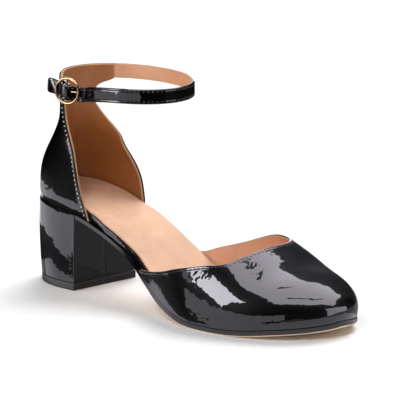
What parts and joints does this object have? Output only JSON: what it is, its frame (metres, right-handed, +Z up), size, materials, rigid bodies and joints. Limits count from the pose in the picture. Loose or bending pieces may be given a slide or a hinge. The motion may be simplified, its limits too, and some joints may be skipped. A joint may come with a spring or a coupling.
{
  "type": "block heel ankle strap pump",
  "caption": "Right womens pump with a round closed toe, a tall closed heel counter, an open waist, a block heel and a buckled ankle strap, standing on its sole.",
  "frame": {"origin": "middle of the heel's floor face", "axes": "+X to the toe, +Y to the inner side of this right shoe, +Z up"},
  "size_m": [0.2335, 0.0841, 0.1305],
  "materials": {
    "patent": "black patent, high gloss",
    "sock_leather": "light natural leather, satin",
    "sole_leather": "natural leather, smooth, edge painted black",
    "rose_gold": "rose gold plating, polished",
    "rubber": "matte black"
  },
  "bodies": {
    "root": {"outsole": "sole_leather", "insole_board": "patent", "sock": "sock_leather", "vamp": "patent", "quarter": "patent", "strap": "patent", "buckle_tab": "patent", "buckle_ring": "rose_gold", "buckle_prong": "rose_gold", "heel_block": "patent", "top_piece": "rubber"}
  },
  "joints": []
}
